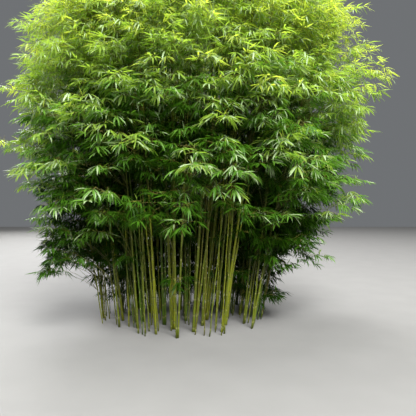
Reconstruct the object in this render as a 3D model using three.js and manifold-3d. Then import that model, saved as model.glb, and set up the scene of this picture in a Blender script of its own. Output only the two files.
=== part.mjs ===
// A clump-forming bamboo, rooted in the ground. Slender canes rise in a fan from one
// root and carry a broad crown of drooping leaf sprays that reaches low at the sides
// and the back, and leaves the canes bare in front. Millimetres, +Z up. The front of
// the plant looks along -Y, and the origin is the foot of the middle cane.
import * as THREE from "three";
import Module from "manifold-3d";
import { mergeVertices } from "three/addons/utils/BufferGeometryUtils.js";

const wasm = await Module();
wasm.setup();

// Driving dimensions, in millimetres. Angles are in radians, shares run from 0 to 1.
const DEGREE = Math.PI / 180;
const GOLDEN_SHARE = (Math.sqrt(5) - 1) / 2;
const GOLDEN_ANGLE = 2 * Math.PI * (1 - GOLDEN_SHARE);

const CLUMP = {
  halfWidth: 1140,
  halfDepth: 1080,
  stools: 40, // places where two canes share a foot, each place one solid
  jitter: 45,
  seed: 11,
};

const CROWN = {
  middle: new THREE.Vector3(130, 0, 3100),
  reach: new THREE.Vector3(2480, 2100, 2560),
  spread: 74 * DEGREE, // how far from upright the outermost canes' tips lie
  fill: [0.74, 0.88], // share of the reach at which canes end
};

const CANE = {
  radius: [12.5, 19],
  taper: { even: 0.22, late: 0.64, power: 2.2 }, // shares of the radius lost up to the tip
  tipRadius: 3,
  flare: 1.14, // of the radius, at the ground
  lean: 0.84, // share of the sideways way that is straight, the rest bends out with height
  rise: 0.12, // how much faster than its tip a cane rises at the foot
  stations: [0, 0.012, 0.28, 0.54, 0.78, 1],
  sides: 6,
  wander: 5 * DEGREE, // how far a tip strays from its even place in the crown
  steady: 0.3, // least share of the way out by which a turn round the plant is scaled
  gap: 12, // least gap between canes of two stools
};

const SECOND = {
  thickness: 0.7, // of its neighbour's
  height: 0.93,
  sides: 5,
  turn: [6 * DEGREE, 13 * DEGREE], // round the plant, away from its neighbour
  tilt: 0.4, // of that turn, outwards or inwards
  beside: [54 * DEGREE, 126 * DEGREE], // where its foot lies, from its neighbour's way out
  overlap: 0.8, // distance of the two feet, over the sum of the radii
};

// Each tier is a ring of leaf masses, which hang lower by the sink towards the back.
// The front of the plant is at 270 degrees.
const TIERS = [
  { name: "low", count: 5, first: -28, step: 59, height: 1360, sink: 220, out: 1300, round: 740, tall: 860 },
  { name: "middle", count: 6, first: 0, step: 60, height: 2460, sink: 0, out: 1620, round: 960, tall: 1060 },
  { name: "upper", count: 5, first: -18, step: 72, height: 3820, sink: 0, out: 1330, round: 960, tall: 980 },
  { name: "top", count: 3, first: 90, step: 120, height: 4420, sink: 0, out: 980, round: 900, tall: 880 },
  { name: "crest", count: 1, first: 0, step: 0, height: 4880, sink: 0, out: 0, round: 860, tall: 800 },
];

const MASS = {
  seat: [0.5, 0.42], // how far in and down of its middle a mass starts, as shares of its reach
  seatFrom: 0.12, // shares of a cane between which stems grow from it
  seatTo: 0.82,
  seatStep: 0.01,
  seatGap: 0.37, // between the corners of a stem's seat and of the cane that carries it
  stemRadius: 9,
  stemThickest: 0.6, // of its cane's radius
  stemTaper: 0.7, // its end's radius, of its start's
  stemSides: 4,
  stemPieces: 3,
  stemEnd: 0.2, // how far out of its middle the stem ends
  stemArch: 75,
  twigs: 7, // directions in one round of twigs
  tries: 30,
  twigFrom: [0.3, 0.96], // share of the stem at which twigs leave it
  twigRadius: [0.5, 0.45, 0.36], // of the stem's, at its start, bend and end
  twigReach: [0.5, 0.72], // share of the space's reach at which twigs end
  twigArch: 110,
  leaves: 15,
  leafAt: [0.5, 0.67, 0.84, 0.98], // shares of a twig at which leaves grow from it
  leafSide: [-1, 1, -1, 0],
  leafLength: [360, 640],
  shorten: 0.93, // step by which a leaf is cut down until it fits
  leafWidth: 0.27, // of the length
  leafThickness: 0.022,
  leafWidest: 0.38,
  fan: [30 * DEGREE, 62 * DEGREE],
  droop: [22 * DEGREE, 62 * DEGREE],
  steepest: 78 * DEGREE,
  roll: 40 * DEGREE, // most that a leaf leans over to one side
  crossing: 0.6, // share of a leaf's half width that other leaves keep off
  gap: 5, // left between a mass and its neighbours
  caneGap: 8,
  seed: 539,
};

const COLOURS = {
  cane: new THREE.MeshStandardMaterial({ color: 0x7f8f2c, roughness: 0.42, metalness: 0 }),
  leaf: new THREE.MeshStandardMaterial({ color: 0x4f8a22, roughness: 0.48, metalness: 0 }),
};

const UP = new THREE.Vector3(0, 0, 1);

function seededRandom(seed) {
  let state = seed >>> 0;
  return () => {
    state = (Math.imul(state, 1664525) + 1013904223) >>> 0;
    return state / 4294967296;
  };
}

const between = (range, share) => range[0] + (range[1] - range[0]) * share;

// Canes

// The point of the crown at an angle from upright and an angle round the plant.
function crownPoint(polar, azimuth, fill) {
  return new THREE.Vector3(
    Math.sin(polar) * Math.cos(azimuth),
    Math.sin(polar) * Math.sin(azimuth),
    Math.cos(polar),
  )
    .multiply(CROWN.reach)
    .multiplyScalar(fill)
    .add(CROWN.middle);
}

// Where a cane's middle is, from 0 at the ground to 1 at the tip.
function canePoint(cane, t) {
  const sideways = CANE.lean * t + (1 - CANE.lean) * t ** 3;
  return new THREE.Vector3(
    cane.foot.x + (cane.tip.x - cane.foot.x) * sideways,
    cane.foot.y + (cane.tip.y - cane.foot.y) * sideways,
    cane.tip.z * ((1 + CANE.rise) * t - CANE.rise * t ** 3),
  );
}

function caneRadius(cane, t) {
  const flare = t < CANE.stations[1] / 2 ? CANE.flare : 1;
  const lost = CANE.taper.even * t + CANE.taper.late * t ** CANE.taper.power;
  return Math.max(CANE.tipRadius, cane.radius * flare * (1 - lost));
}

function withPath(cane) {
  cane.points = CANE.stations.map((t) => canePoint(cane, t));
  cane.radii = CANE.stations.map((t) => caneRadius(cane, t));
  return cane;
}

// The least distance of two straight pieces, ab and cd.
function distance(a, b, c, d) {
  const u = b.clone().sub(a);
  const v = d.clone().sub(c);
  const w = a.clone().sub(c);
  const uu = u.dot(u);
  const uv = u.dot(v);
  const vv = v.dot(v);
  const uw = u.dot(w);
  const vw = v.dot(w);
  const area = uu * vv - uv * uv;
  let s = area > 1e-9 ? THREE.MathUtils.clamp((uv * vw - vv * uw) / area, 0, 1) : 0;
  let t = (uv * s + vw) / vv;
  if (t < 0 || t > 1) {
    t = THREE.MathUtils.clamp(t, 0, 1);
    s = THREE.MathUtils.clamp((uv * t - uw) / uu, 0, 1);
  }
  return w.addScaledVector(u, s).addScaledVector(v, -t).length();
}

// Whether a round rod from a to b keeps clear of a cane.
function clearOfCane(cane, a, b, radius, gap) {
  for (let k = 1; k < cane.points.length; k++) {
    const reach = cane.radii[k - 1] + radius + gap;
    if (distance(a, b, cane.points[k - 1], cane.points[k]) < reach) return false;
  }
  return true;
}

function clearOfCanes(canes, a, b, radius, gap) {
  return canes.every((cane) => clearOfCane(cane, a, b, radius, gap));
}

function fitsAmong(canes, cane) {
  return cane.points.every(
    (p, k) => k === 0 || clearOfCanes(canes, cane.points[k - 1], p, cane.radii[k - 1], CANE.gap),
  );
}

// One cane at each place of a sunflower spiral, its tip at the like place of the crown.
function growStool(index, random, standing) {
  const share = Math.sqrt(index / (CLUMP.stools - 1));
  const angle = index * GOLDEN_ANGLE;
  const loose = index === 0 ? 0 : CLUMP.jitter;
  for (;;) {
    const foot = new THREE.Vector3(
      share * CLUMP.halfWidth * Math.cos(angle) + (random() * 2 - 1) * loose,
      share * CLUMP.halfDepth * Math.sin(angle) + (random() * 2 - 1) * loose,
      0,
    );
    const polar = share * CROWN.spread + (random() * 2 - 1) * CANE.wander;
    const azimuth = angle + ((random() * 2 - 1) * CANE.wander) / Math.max(share, CANE.steady);
    const fill = between(CROWN.fill, random());
    const radius = between(CANE.radius, random());
    const cane = withPath({ foot, radius, tip: crownPoint(polar, azimuth, fill), sides: CANE.sides });
    if (fitsAmong(standing, cane)) return { cane, polar, azimuth, fill };
  }
}

// A thinner cane from the same foot, which parts from the first one as it rises.
function growSecond(first, random, standing) {
  for (;;) {
    const side = random() < 0.5 ? -1 : 1;
    const turn = side * between(SECOND.turn, random());
    const heading = first.azimuth + side * between(SECOND.beside, random());
    const radius = first.cane.radius * SECOND.thickness;
    const step = (first.cane.radius + radius) * CANE.flare * SECOND.overlap;
    const foot = new THREE.Vector3(Math.cos(heading), Math.sin(heading), 0)
      .multiplyScalar(step)
      .add(first.cane.foot);
    const polar = first.polar + turn * SECOND.tilt;
    const azimuth = first.azimuth + turn / Math.max(Math.sin(first.polar), CANE.steady);
    const tip = crownPoint(polar, azimuth, first.fill * SECOND.height);
    const cane = withPath({ foot, radius, tip, sides: SECOND.sides });
    if (fitsAmong(standing, cane)) return cane;
  }
}

// Every stool as a list of its two canes.
function growCanes() {
  const random = seededRandom(CLUMP.seed);
  const stools = [];
  for (let index = 0; index < CLUMP.stools; index++) {
    const standing = stools.flat();
    const first = growStool(index, random, standing);
    stools.push([first.cane, growSecond(first, random, standing)]);
  }
  return stools;
}

// Solids

function solidOf(geometry) {
  geometry.deleteAttribute("normal");
  geometry.deleteAttribute("uv");
  const merged = mergeVertices(geometry, 1e-4);
  return new wasm.Manifold(
    new wasm.Mesh({
      numProp: 3,
      vertProperties: merged.attributes.position.array,
      triVerts: new Uint32Array(merged.index.array),
    }),
  );
}

function geometryOf(solid) {
  const mesh = solid.getMesh();
  return new THREE.BufferGeometry()
    .setAttribute("position", new THREE.BufferAttribute(mesh.vertProperties, 3))
    .setIndex(new THREE.BufferAttribute(mesh.triVerts, 1));
}

// A closed rod with flat ends along a line of points, thicker and thinner by the radii:
// a cylinder whose rings are moved onto the line.
function rod(points, radii, sides, firstAxis = null) {
  const last = points.length - 1;
  const geometry = new THREE.CylinderGeometry(1, 1, 1, sides, last);
  const place = geometry.attributes.position;
  const overall = points[last].clone().sub(points[0]).normalize();
  const steady = Math.abs(overall.z) > 0.8 ? new THREE.Vector3(1, 0, 0) : UP;
  const rings = points.map((point, k) => {
    const axis = points[Math.min(k + 1, last)].clone().sub(points[Math.max(k - 1, 0)]).normalize();
    if (k === 0 && firstAxis) axis.copy(firstAxis);
    const across = steady.clone().addScaledVector(axis, -steady.dot(axis)).normalize();
    return { point, across, along: axis.clone().cross(across), radius: radii[k] };
  });
  for (let i = 0; i < place.count; i++) {
    const ring = rings[Math.round((place.getY(i) + 0.5) * last)];
    const moved = ring.point
      .clone()
      .addScaledVector(ring.across, place.getZ(i) * ring.radius)
      .addScaledVector(ring.along, place.getX(i) * ring.radius);
    place.setXYZ(i, moved.x, moved.y, moved.z);
  }
  return solidOf(geometry);
}

function caneSolid(cane, thicker = 0) {
  return rod(cane.points, cane.radii.map((r) => r + thicker), cane.sides, UP);
}

// A flat blade of eight faces from its root to its tip, widest nearer the root.
function blade(root, tip, roll) {
  const along = tip.clone().sub(root);
  const length = along.length();
  along.normalize();
  const across = UP.clone().cross(along).normalize().applyAxisAngle(along, roll);
  const upwards = along.clone().cross(across);
  const geometry = new THREE.OctahedronGeometry(1, 0);
  const place = geometry.attributes.position;
  for (let i = 0; i < place.count; i++) {
    const share = [0, MASS.leafWidest, 1][Math.round(place.getX(i)) + 1];
    const moved = root
      .clone()
      .addScaledVector(along, share * length)
      .addScaledVector(across, (place.getY(i) * length * MASS.leafWidth) / 2)
      .addScaledVector(upwards, (place.getZ(i) * length * MASS.leafThickness) / 2);
    place.setXYZ(i, moved.x, moved.y, moved.z);
  }
  return solidOf(geometry);
}

// Leaf masses

// The place of each leaf mass: a rounded space, parted from its neighbours' spaces by
// flat walls.
function massSpaces() {
  const spaces = [];
  for (const tier of TIERS) {
    for (let k = 0; k < tier.count; k++) {
      const azimuth = (tier.first + tier.step * k) * DEGREE;
      const outward = new THREE.Vector3(Math.cos(azimuth), Math.sin(azimuth), 0);
      const depth = CROWN.reach.y / CROWN.reach.x;
      const middle = new THREE.Vector3(
        CROWN.middle.x + outward.x * tier.out,
        CROWN.middle.y + outward.y * tier.out * depth,
        tier.height - tier.sink * Math.max(0, outward.y),
      );
      const reach = new THREE.Vector3(tier.round, tier.round, tier.tall);
      spaces.push({ name: `foliage_${tier.name}_${k + 1}`, middle, reach, outward });
    }
  }
  return spaces;
}

// Whether a point is in a space, with room round it.
function holds(space, spaces, point, room) {
  if (point.clone().sub(space.middle).divide(space.reach).length() > 1) return false;
  return spaces.every((other) => {
    if (other === space) return true;
    const apart = other.middle.clone().sub(space.middle);
    const share = space.reach.x ** 2 - other.reach.x ** 2;
    const wall = (apart.lengthSq() + share) / (2 * apart.length());
    return wall - point.clone().sub(space.middle).dot(apart.normalize()) > room + MASS.gap;
  });
}

// A point of the cane's straight-sided solid, and its radius there.
function onCane(cane, t) {
  const k = CANE.stations.findIndex((station) => station >= t);
  const share = (t - CANE.stations[k - 1]) / (CANE.stations[k] - CANE.stations[k - 1]);
  return {
    point: cane.points[k - 1].clone().lerp(cane.points[k], share),
    radius: THREE.MathUtils.lerp(cane.radii[k - 1], cane.radii[k], share),
  };
}

function arc(start, end, height, steps) {
  const bend = start.clone().lerp(end, 0.5).addScaledVector(UP, height);
  return new THREE.QuadraticBezierCurve3(start, bend, end).getPoints(steps);
}

// The point at a share of a line's pieces, and the way the line runs there.
function along(points, share) {
  const pieces = points.length - 1;
  const k = Math.min(Math.floor(share * pieces), pieces - 1);
  return {
    point: points[k].clone().lerp(points[k + 1], share * pieces - k),
    way: points[k + 1].clone().sub(points[k]).normalize(),
  };
}

// The stem of a mass, from the nearest place of a cane where it fits among the others.
function growStem(space, spaces, canes) {
  const wanted = space.middle
    .clone()
    .addScaledVector(space.outward, -MASS.seat[0] * space.reach.x)
    .addScaledVector(UP, -MASS.seat[1] * space.reach.z);
  const end = space.middle.clone().addScaledVector(space.outward, MASS.stemEnd * space.reach.x);
  const seats = [];
  for (const cane of canes) {
    for (let t = MASS.seatFrom; t < MASS.seatTo; t += MASS.seatStep) {
      const { point, radius } = onCane(cane, t);
      seats.push({ cane, point, radius, far: point.distanceTo(wanted) });
    }
  }
  seats.sort((a, b) => a.far - b.far);
  for (const { cane, point, radius } of seats) {
    const thick = Math.min(MASS.stemRadius, MASS.stemThickest * radius);
    const line = arc(point, end, MASS.stemArch, MASS.stemPieces);
    const others = canes.filter((other) => other !== cane);
    const fits = line.every((p, k) => {
      if (!holds(space, spaces, p, thick)) return false;
      return k === 0 || clearOfCanes(others, line[k - 1], p, thick, MASS.caneGap);
    });
    if (fits) return { cane, line, thick };
  }
  throw new Error(`${space.name} finds no cane to grow on`);
}

// Evenly spread directions, as on a sunflower head wrapped round a ball.
function ballDirection(index, count, turn) {
  const z = 1 - (2 * index + 1) / count;
  const round = Math.sqrt(1 - z * z);
  const angle = index * GOLDEN_ANGLE + turn;
  return new THREE.Vector3(round * Math.cos(angle), round * Math.sin(angle), z);
}

// The way that a leaf points: turned aside from its twig, and drooping.
function leafWay(way, side, random) {
  const fall = Math.max(Math.asin(way.z) - between(MASS.droop, random()), -MASS.steepest);
  return way
    .clone()
    .setZ(0)
    .normalize()
    .applyAxisAngle(UP, side * between(MASS.fan, random()))
    .multiplyScalar(Math.cos(fall))
    .addScaledVector(UP, Math.sin(fall));
}

// One stem from a cane, twigs from the stem to all sides of the space, and leaves on
// the twigs. What would leave the space, or meet a cane or a leaf, isn't grown.
function growMass(space, spaces, canes, random) {
  const stem = growStem(space, spaces, canes);
  const twigRadii = MASS.twigRadius.map((share) => share * stem.thick);
  const taken = []; // straight pieces of twigs and leaves, each with its half width
  const hits = (a, b, half, own) =>
    taken.some((it) => it.own !== own && distance(a, b, it.a, it.b) < half + it.half);
  const keepsClear = (a, b, half, own) =>
    holds(space, spaces, b, half) &&
    !hits(a, b, half, own) &&
    clearOfCanes(canes, a, b, half, MASS.caneGap);

  const growTwig = (heading, place) => {
    const start = along(stem.line, between(MASS.twigFrom, place)).point;
    const end = heading.multiply(space.reach).multiplyScalar(between(MASS.twigReach, random()));
    const line = arc(start, end.add(space.middle), MASS.twigArch, 2);
    return line.every((p, k) => k === 0 || keepsClear(line[k - 1], p, twigRadii[0])) ? line : null;
  };

  const growLeaf = (twig, share, side) => {
    const { point: root, way } = along(twig, share);
    const heading = leafWay(way, side, random);
    const roll = MASS.roll * (2 * random() - 1);
    for (let length = MASS.leafLength[1]; length > MASS.leafLength[0]; length *= MASS.shorten) {
      const half = (MASS.leafWidth * length) / 2;
      const widest = root.clone().addScaledVector(heading, MASS.leafWidest * length);
      const tip = root.clone().addScaledVector(heading, length);
      const fits =
        holds(space, spaces, widest, half) &&
        clearOfCanes(canes, root, tip, half, MASS.caneGap) &&
        keepsClear(widest, tip, MASS.crossing * half, twig);
      if (fits) return { root, widest, tip, half, roll };
    }
    return null;
  };

  const pieces = [];
  const leaves = [];
  const turn = random() * 2 * Math.PI;
  for (let n = 0; n < MASS.tries && leaves.length < MASS.leaves; n++) {
    const lap = Math.floor(n / MASS.twigs);
    const heading = ballDirection(n % MASS.twigs, MASS.twigs, turn + lap);
    const twig = growTwig(heading, (n * GOLDEN_SHARE) % 1);
    if (!twig) continue;
    const grown = MASS.leafAt
      .map((share, k) => growLeaf(twig, share, MASS.leafSide[k]))
      .filter((leaf) => leaf);
    if (grown.length === 0) continue;
    pieces.push(rod(twig, twigRadii, 3));
    taken.push({ a: twig[1], b: twig[2], half: twigRadii[0], own: twig });
    for (const leaf of grown) {
      pieces.push(blade(leaf.root, leaf.tip, leaf.roll));
      taken.push({ a: leaf.widest, b: leaf.tip, half: MASS.crossing * leaf.half, own: leaf });
    }
    leaves.push(...grown);
  }
  const ends = [stem.thick, MASS.stemTaper * stem.thick];
  const radii = stem.line.map((point, k) => between(ends, k / MASS.stemPieces));
  const whole = wasm.Manifold.union([rod(stem.line, radii, MASS.stemSides), ...pieces]);
  const cut = whole.subtract(caneSolid(stem.cane, MASS.seatGap));
  return cut.decompose().sort((a, b) => b.volume() - a.volume())[0];
}

// The plant

const plant = new THREE.Group();

function addNode(name, solid, material) {
  const mesh = new THREE.Mesh(geometryOf(solid), material);
  mesh.name = name;
  plant.add(mesh);
}

const twoDigits = (n) => String(n).padStart(2, "0");

const stools = growCanes();
stools.forEach((canes, index) => {
  const solid = wasm.Manifold.union(canes.map((cane) => caneSolid(cane)));
  addNode(`cane_${twoDigits(index + 1)}`, solid, COLOURS.cane);
});

const spaces = massSpaces();
const allCanes = stools.flat();
const randomLeaves = seededRandom(MASS.seed);
for (const space of spaces) {
  addNode(space.name, growMass(space, spaces, allCanes, randomLeaves), COLOURS.leaf);
}

export default plant;
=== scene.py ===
import math
import random

import bpy
import numpy as np
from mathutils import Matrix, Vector


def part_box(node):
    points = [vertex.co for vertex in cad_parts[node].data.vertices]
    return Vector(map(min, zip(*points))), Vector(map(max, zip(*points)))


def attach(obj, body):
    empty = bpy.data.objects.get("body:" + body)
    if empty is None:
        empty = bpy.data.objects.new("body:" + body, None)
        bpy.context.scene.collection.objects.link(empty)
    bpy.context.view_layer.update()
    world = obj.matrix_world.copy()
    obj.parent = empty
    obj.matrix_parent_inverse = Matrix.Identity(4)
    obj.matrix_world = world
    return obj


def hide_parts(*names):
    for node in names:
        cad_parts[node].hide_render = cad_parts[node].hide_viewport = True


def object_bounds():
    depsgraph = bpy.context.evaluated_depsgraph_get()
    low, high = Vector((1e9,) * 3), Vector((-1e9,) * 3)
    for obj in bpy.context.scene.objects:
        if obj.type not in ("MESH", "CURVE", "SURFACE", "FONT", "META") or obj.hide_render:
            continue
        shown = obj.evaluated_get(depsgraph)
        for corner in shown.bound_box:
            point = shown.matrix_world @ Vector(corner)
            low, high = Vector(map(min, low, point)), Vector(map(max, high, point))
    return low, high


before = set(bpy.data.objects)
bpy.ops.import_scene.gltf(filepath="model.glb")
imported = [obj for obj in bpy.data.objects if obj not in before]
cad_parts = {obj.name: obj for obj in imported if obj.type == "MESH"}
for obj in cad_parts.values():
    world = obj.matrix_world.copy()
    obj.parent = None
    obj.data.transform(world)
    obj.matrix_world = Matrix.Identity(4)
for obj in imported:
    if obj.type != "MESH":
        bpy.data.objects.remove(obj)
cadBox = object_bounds()

degree = math.pi / 180
goldenShare = (math.sqrt(5) - 1) / 2
goldenAngle = 2 * math.pi * (1 - goldenShare)
millimetre = 0.001


# The plan of the plant: where the canes stand and where the masses of leaves are

clump = {
    "halfWidth": 1140,
    "halfDepth": 1080,
    "stools": 40,  # places where two canes share a foot
    "jitter": 45,  # how far feet lie off their places in the spiral
    "seed": 11,
}

crown = {
    "middle": (130, 0, 3100),
    "reach": (2480, 2100, 2560),
    "spread": 74 * degree,  # how far from upright the outermost canes' tips lie
    "fill": (0.74, 0.88),  # share of the reach at which canes end
}

caneRule = {
    "radius": (12.5, 19),
    "taper": (0.22, 0.64, 2.2),  # even share, late share and its power
    "tipRadius": 3,
    "flare": 1.14,  # at the foot
    "lean": 0.84,  # 1 would lean evenly, less leans more towards the tip
    "rise": 0.12,  # 0 would rise evenly, more rises faster at the foot
    "stations": (0, 0.012, 0.28, 0.54, 0.78, 1),
    "wander": 5 * degree,
    "steady": 0.3,  # keeps canes near the middle from turning too far
    "gap": 12,
}

# the thinner cane of each stool, beside the first
secondRule = {
    "thickness": 0.7,
    "height": 0.93,
    "turn": (6 * degree, 13 * degree),
    "tilt": 0.4,
    "beside": (54 * degree, 126 * degree),
    "overlap": 0.8,
}

# rings of leaf masses, the front of the plant being at 270 degrees: where the first
# stands and the step to the next in degrees, how high and how far out their middles
# are, how much lower they sink at the back, and their reach sideways and upwards
tiers = {
    "low": {
        "count": 5, "first": -28, "step": 59,
        "height": 1360, "out": 1300, "sink": 220, "round": 740, "tall": 860,
    },
    "middle": {
        "count": 6, "first": 0, "step": 60,
        "height": 2460, "out": 1620, "sink": 0, "round": 960, "tall": 1060,
    },
    "upper": {
        "count": 5, "first": -18, "step": 72,
        "height": 3820, "out": 1330, "sink": 0, "round": 960, "tall": 980,
    },
    "top": {
        "count": 3, "first": 90, "step": 120,
        "height": 4420, "out": 980, "sink": 0, "round": 900, "tall": 880,
    },
    "crest": {
        "count": 1, "first": 0, "step": 0,
        "height": 4880, "out": 0, "sink": 0, "round": 860, "tall": 800,
    },
}

# thin young canes between the others, which carry leaves inside the crown
youngRule = {
    "count": 96,
    "share": (0.3, 1.03),  # of the clump's half width and depth, where they stand
    "radius": (6, 10),
    "tilt": (0.8, 1),  # share of the tilt that a main cane has there
    "turn": 0.2,  # radians to either side
    "fill": (0.55, 0.92),
    "seed": 77,
}


def seededRandom(seed):
    # the same draws as in the part's source
    state = seed
    while True:
        state = (state * 1664525 + 1013904223) % 2**32
        yield state / 2**32


def between(span, share):
    return span[0] + (span[1] - span[0]) * share


def crownPoint(polar, azimuth, fill):
    way = np.array([
        math.sin(polar) * math.cos(azimuth),
        math.sin(polar) * math.sin(azimuth),
        math.cos(polar),
    ])
    return way * crown["reach"] * fill + crown["middle"]


def canePoint(cane, t):
    t = np.asarray(t, dtype=float)
    sideways = caneRule["lean"] * t + (1 - caneRule["lean"]) * t**3
    upwards = (1 + caneRule["rise"]) * t - caneRule["rise"] * t**3
    foot, tip = cane["foot"], cane["tip"]
    return np.stack([
        foot[0] + (tip[0] - foot[0]) * sideways,
        foot[1] + (tip[1] - foot[1]) * sideways,
        tip[2] * upwards,
    ], axis=-1)


def caneRadius(cane, t):
    even, late, power = caneRule["taper"]
    t = np.asarray(t, dtype=float)
    flare = np.where(t < caneRule["stations"][1] / 2, caneRule["flare"], 1)
    left = 1 - even * t - late * t**power
    return np.maximum(caneRule["tipRadius"], cane["radius"] * flare * left)


def withPath(cane):
    cane["points"] = canePoint(cane, caneRule["stations"])
    cane["radii"] = caneRadius(cane, caneRule["stations"])
    cane["length"] = np.linalg.norm(cane["tip"] - cane["foot"])
    return cane


def gapsTo(a, b, starts, ends):
    # least distances of the straight piece ab and each of many others
    u, v, w = b - a, ends - starts, a - starts
    uu, uv, vv = u @ u, v @ u, (v * v).sum(1)
    uw, vw = w @ u, (w * v).sum(1)
    area = uu * vv - uv * uv
    s = np.clip((uv * vw - vv * uw) / np.maximum(area, 1e-9), 0, 1)
    s = np.where(area > 1e-9, s, 0)
    t = (uv * s + vw) / vv
    within = np.clip(t, 0, 1)
    s = np.where(t == within, s, np.clip((uv * within - uw) / uu, 0, 1))
    return np.linalg.norm(w + s[:, None] * u - within[:, None] * v, axis=1)


def fitsAmong(standing, cane):
    if not standing:
        return True
    starts = np.concatenate([it["points"][:-1] for it in standing])
    ends = np.concatenate([it["points"][1:] for it in standing])
    radii = np.concatenate([it["radii"][:-1] for it in standing])
    for k in range(len(cane["points"]) - 1):
        room = radii + cane["radii"][k] + caneRule["gap"]
        if (gapsTo(cane["points"][k], cane["points"][k + 1], starts, ends) < room).any():
            return False
    return True


def growFirst(index, draw, standing):
    share = math.sqrt(index / (clump["stools"] - 1))
    angle = index * goldenAngle
    loose = 0 if index == 0 else clump["jitter"]
    while True:
        footX = share * clump["halfWidth"] * math.cos(angle) + (next(draw) * 2 - 1) * loose
        footY = share * clump["halfDepth"] * math.sin(angle) + (next(draw) * 2 - 1) * loose
        polar = share * crown["spread"] + (next(draw) * 2 - 1) * caneRule["wander"]
        turn = (next(draw) * 2 - 1) * caneRule["wander"]
        azimuth = angle + turn / max(share, caneRule["steady"])
        fill = between(crown["fill"], next(draw))
        radius = between(caneRule["radius"], next(draw))
        tip = crownPoint(polar, azimuth, fill)
        cane = withPath({"foot": np.array([footX, footY, 0.0]), "radius": radius, "tip": tip})
        if fitsAmong(standing, cane):
            return {"cane": cane, "polar": polar, "azimuth": azimuth, "fill": fill}


def growSecond(first, draw, standing):
    while True:
        side = -1 if next(draw) < 0.5 else 1
        turn = side * between(secondRule["turn"], next(draw))
        heading = first["azimuth"] + side * between(secondRule["beside"], next(draw))
        radius = first["cane"]["radius"] * secondRule["thickness"]
        step = (first["cane"]["radius"] + radius) * caneRule["flare"] * secondRule["overlap"]
        foot = first["cane"]["foot"] + step * np.array([math.cos(heading), math.sin(heading), 0])
        polar = first["polar"] + turn * secondRule["tilt"]
        azimuth = first["azimuth"] + turn / max(math.sin(first["polar"]), caneRule["steady"])
        tip = crownPoint(polar, azimuth, first["fill"] * secondRule["height"])
        cane = withPath({"foot": foot, "radius": radius, "tip": tip})
        if fitsAmong(standing, cane):
            return cane


def growCanes():
    draw = seededRandom(clump["seed"])
    canes = []
    for index in range(clump["stools"]):
        standing = list(canes)
        first = growFirst(index, draw, standing)
        for cane in (first["cane"], growSecond(first, draw, standing)):
            cane["node"] = f"cane_{index + 1:02d}"
            cane["stool"] = index
            canes.append(cane)
    return canes


def growYoung(standing):
    dice = random.Random(youngRule["seed"])
    grown = []
    low, high = youngRule["share"]
    while len(grown) < youngRule["count"]:
        share = math.sqrt(dice.uniform(low * low, high * high))
        angle = dice.uniform(0, 2 * math.pi)
        footX = share * clump["halfWidth"] * math.cos(angle)
        footY = share * clump["halfDepth"] * math.sin(angle)
        polar = share * crown["spread"] * dice.uniform(*youngRule["tilt"])
        azimuth = angle + dice.uniform(-youngRule["turn"], youngRule["turn"])
        tip = crownPoint(polar, azimuth, dice.uniform(*youngRule["fill"]))
        radius = dice.uniform(*youngRule["radius"])
        cane = withPath({"foot": np.array([footX, footY, 0]), "radius": radius, "tip": tip})
        if fitsAmong(standing + grown, cane):
            cane["stool"] = len(grown)
            grown.append(cane)
    return grown


def massSpaces():
    spaces = []
    depth = crown["reach"][1] / crown["reach"][0]
    for name, tier in tiers.items():
        for k in range(tier["count"]):
            azimuth = (tier["first"] + tier["step"] * k) * degree
            outward = np.array([math.cos(azimuth), math.sin(azimuth), 0])
            middle = np.array([
                crown["middle"][0] + outward[0] * tier["out"],
                crown["middle"][1] + outward[1] * tier["out"] * depth,
                tier["height"] - tier["sink"] * max(0, outward[1]),
            ])
            reach = np.array([tier["round"], tier["round"], tier["tall"]], dtype=float)
            node = f"foliage_{name}_{k + 1}"
            spaces.append({"node": node, "tier": name, "middle": middle, "reach": reach})
    return spaces


def worstMismatch():
    # how far the planned canes lie from the CAD's, in millimetres
    worst = 0
    for k in range(0, len(canes), 2):
        low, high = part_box(canes[k]["node"])
        points = np.concatenate([canes[k]["points"], canes[k + 1]["points"]]) * millimetre
        off = np.abs(np.concatenate([points.min(0) - low, points.max(0) - high])).max()
        worst = max(worst, off - canes[k]["radius"] * caneRule["flare"] * millimetre)
    return worst / millimetre


canes = growCanes()
spaces = massSpaces()
print("plan:", len(canes), "canes,", len(spaces), "masses")
print("plan: off the CAD by", round(worstMismatch(), 2), "mm at most")
canes += growYoung(canes)
print("plan:", len(canes), "canes with the young ones")


# Meshes made of arrays

def unit(vectors):
    return vectors / np.linalg.norm(vectors, axis=-1, keepdims=True)


def heading(azimuth, pitch):
    return np.stack([
        np.cos(azimuth) * np.cos(pitch),
        np.sin(azimuth) * np.cos(pitch),
        np.sin(pitch),
    ], axis=-1)


def meshPiece(name, points, triangles, materials, faceMaterials=None):
    mesh = bpy.data.meshes.new(name)
    places = np.ascontiguousarray(points * millimetre, dtype=np.float32)
    corners = np.ascontiguousarray(triangles, dtype=np.int32)
    mesh.vertices.add(len(points))
    mesh.vertices.foreach_set("co", places.ravel())
    mesh.loops.add(triangles.size)
    mesh.loops.foreach_set("vertex_index", corners.ravel())
    mesh.polygons.add(len(triangles))
    mesh.polygons.foreach_set("loop_start", np.arange(0, triangles.size, 3, dtype=np.int32))
    if faceMaterials is not None:
        mesh.polygons.foreach_set("material_index", faceMaterials.astype(np.int32))
    mesh.polygons.foreach_set("use_smooth", np.full(len(triangles), True))
    mesh.update(calc_edges=True)
    mesh.validate()
    for material in materials:
        mesh.materials.append(material)
    piece = bpy.data.objects.new(name, mesh)
    bpy.context.scene.collection.objects.link(piece)
    return piece


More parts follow.
